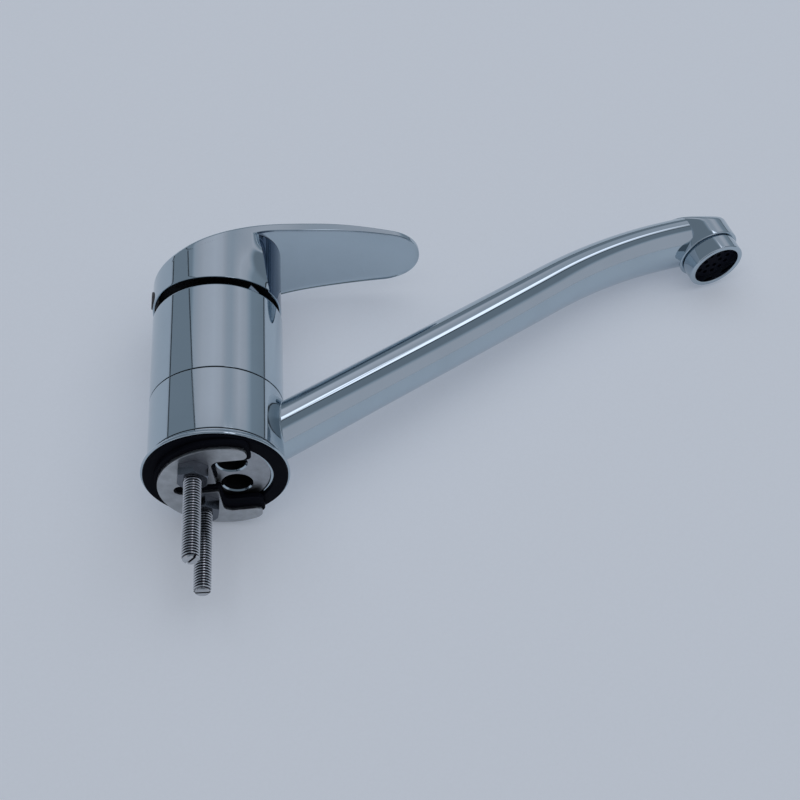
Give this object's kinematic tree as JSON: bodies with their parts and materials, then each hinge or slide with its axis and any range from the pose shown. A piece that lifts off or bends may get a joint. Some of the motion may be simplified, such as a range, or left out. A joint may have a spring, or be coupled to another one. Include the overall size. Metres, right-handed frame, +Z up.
{
  "type": "kitchen mixer tap",
  "caption": "Single-lever kitchen mixer tap: a round body with a long rising swivel spout, a flat lever over a ceramic disc cartridge, and a studded clamp under the base.",
  "frame": {"origin": "middle of the base at deck level, on the body's axis", "axes": "+Z up out of the deck, +X along the spout and the closed lever"},
  "size_m": [0.2284, 0.05, 0.1662],
  "materials": {
    "chromed_brass": "polished chrome plate",
    "chromed_zinc": "polished chrome plate",
    "black_rubber": "matte moulded rubber",
    "bearing_plastic": "natural acetal",
    "cartridge_plastic": "natural glass-filled plastic",
    "stem_plastic": "black glass-filled plastic",
    "ceramic": "lapped alumina",
    "steel": "turned stainless steel",
    "stem_brass": "drawn brass",
    "nut_brass": "machined brass",
    "black_plastic": "matte black",
    "cap_plastic": "dark grey, satin",
    "insert_plastic": "dark moulded plastic",
    "plate_steel": "pressed steel, dull zinc",
    "zinc_steel": "bright zinc plate, threaded",
    "nut_steel": "dark zinc plate"
  },
  "bodies": {
    "body": {"body_casting": "chromed_brass", "base_flange": "chromed_brass", "base_gasket": "black_rubber", "lower_slip_ring": "bearing_plastic", "upper_slip_ring": "bearing_plastic", "lower_spout_seal": "black_rubber", "upper_spout_seal": "black_rubber", "cartridge_base": "cartridge_plastic", "port_seals": "black_rubber", "fixed_disc": "ceramic", "cartridge_shell": "cartridge_plastic", "retaining_nut": "nut_brass", "nut_cover": "black_plastic", "rubber_horseshoe": "black_rubber", "steel_horseshoe": "plate_steel", "mounting_studs": "zinc_steel", "stud_nuts": "nut_steel"},
    "spout": {"spout_casting": "chromed_brass", "aerator_housing": "chromed_brass", "aerator_insert": "insert_plastic", "aerator_washer": "black_rubber"},
    "rotor": {"cartridge_rotor": "stem_plastic", "pivot_pin": "steel"},
    "lever": {"cartridge_stem": "stem_brass", "lever_handle": "chromed_zinc", "handle_screw": "steel", "screw_cap": "cap_plastic"},
    "discs": {"disc_carrier": "stem_plastic", "moving_disc": "ceramic"}
  },
  "joints": [
    {"name": "spout_swivel", "type": "hinge", "parent": "body", "child": "spout", "pos_m": [0, 0, 0.017], "axis": [0, 0, 1], "continuous": true},
    {"name": "lever_turn", "type": "hinge", "parent": "body", "child": "rotor", "pos_m": [0, 0, 0.06], "axis": [0, 0, 1], "range_deg": [-50, 50]},
    {"name": "lever_lift", "type": "hinge", "parent": "rotor", "child": "lever", "pos_m": [0, 0, 0.06], "axis": [0, -1, 0], "range_deg": [0, 18]},
    {"name": "disc_slide", "type": "slide", "parent": "rotor", "child": "discs", "axis": [1, 0, 0], "range_m": [0, 0.0034]}
  ],
  "couplings": [
    {"joint": "disc_slide", "follows": "lever_lift", "m_per_rad": 0.0104}
  ]
}
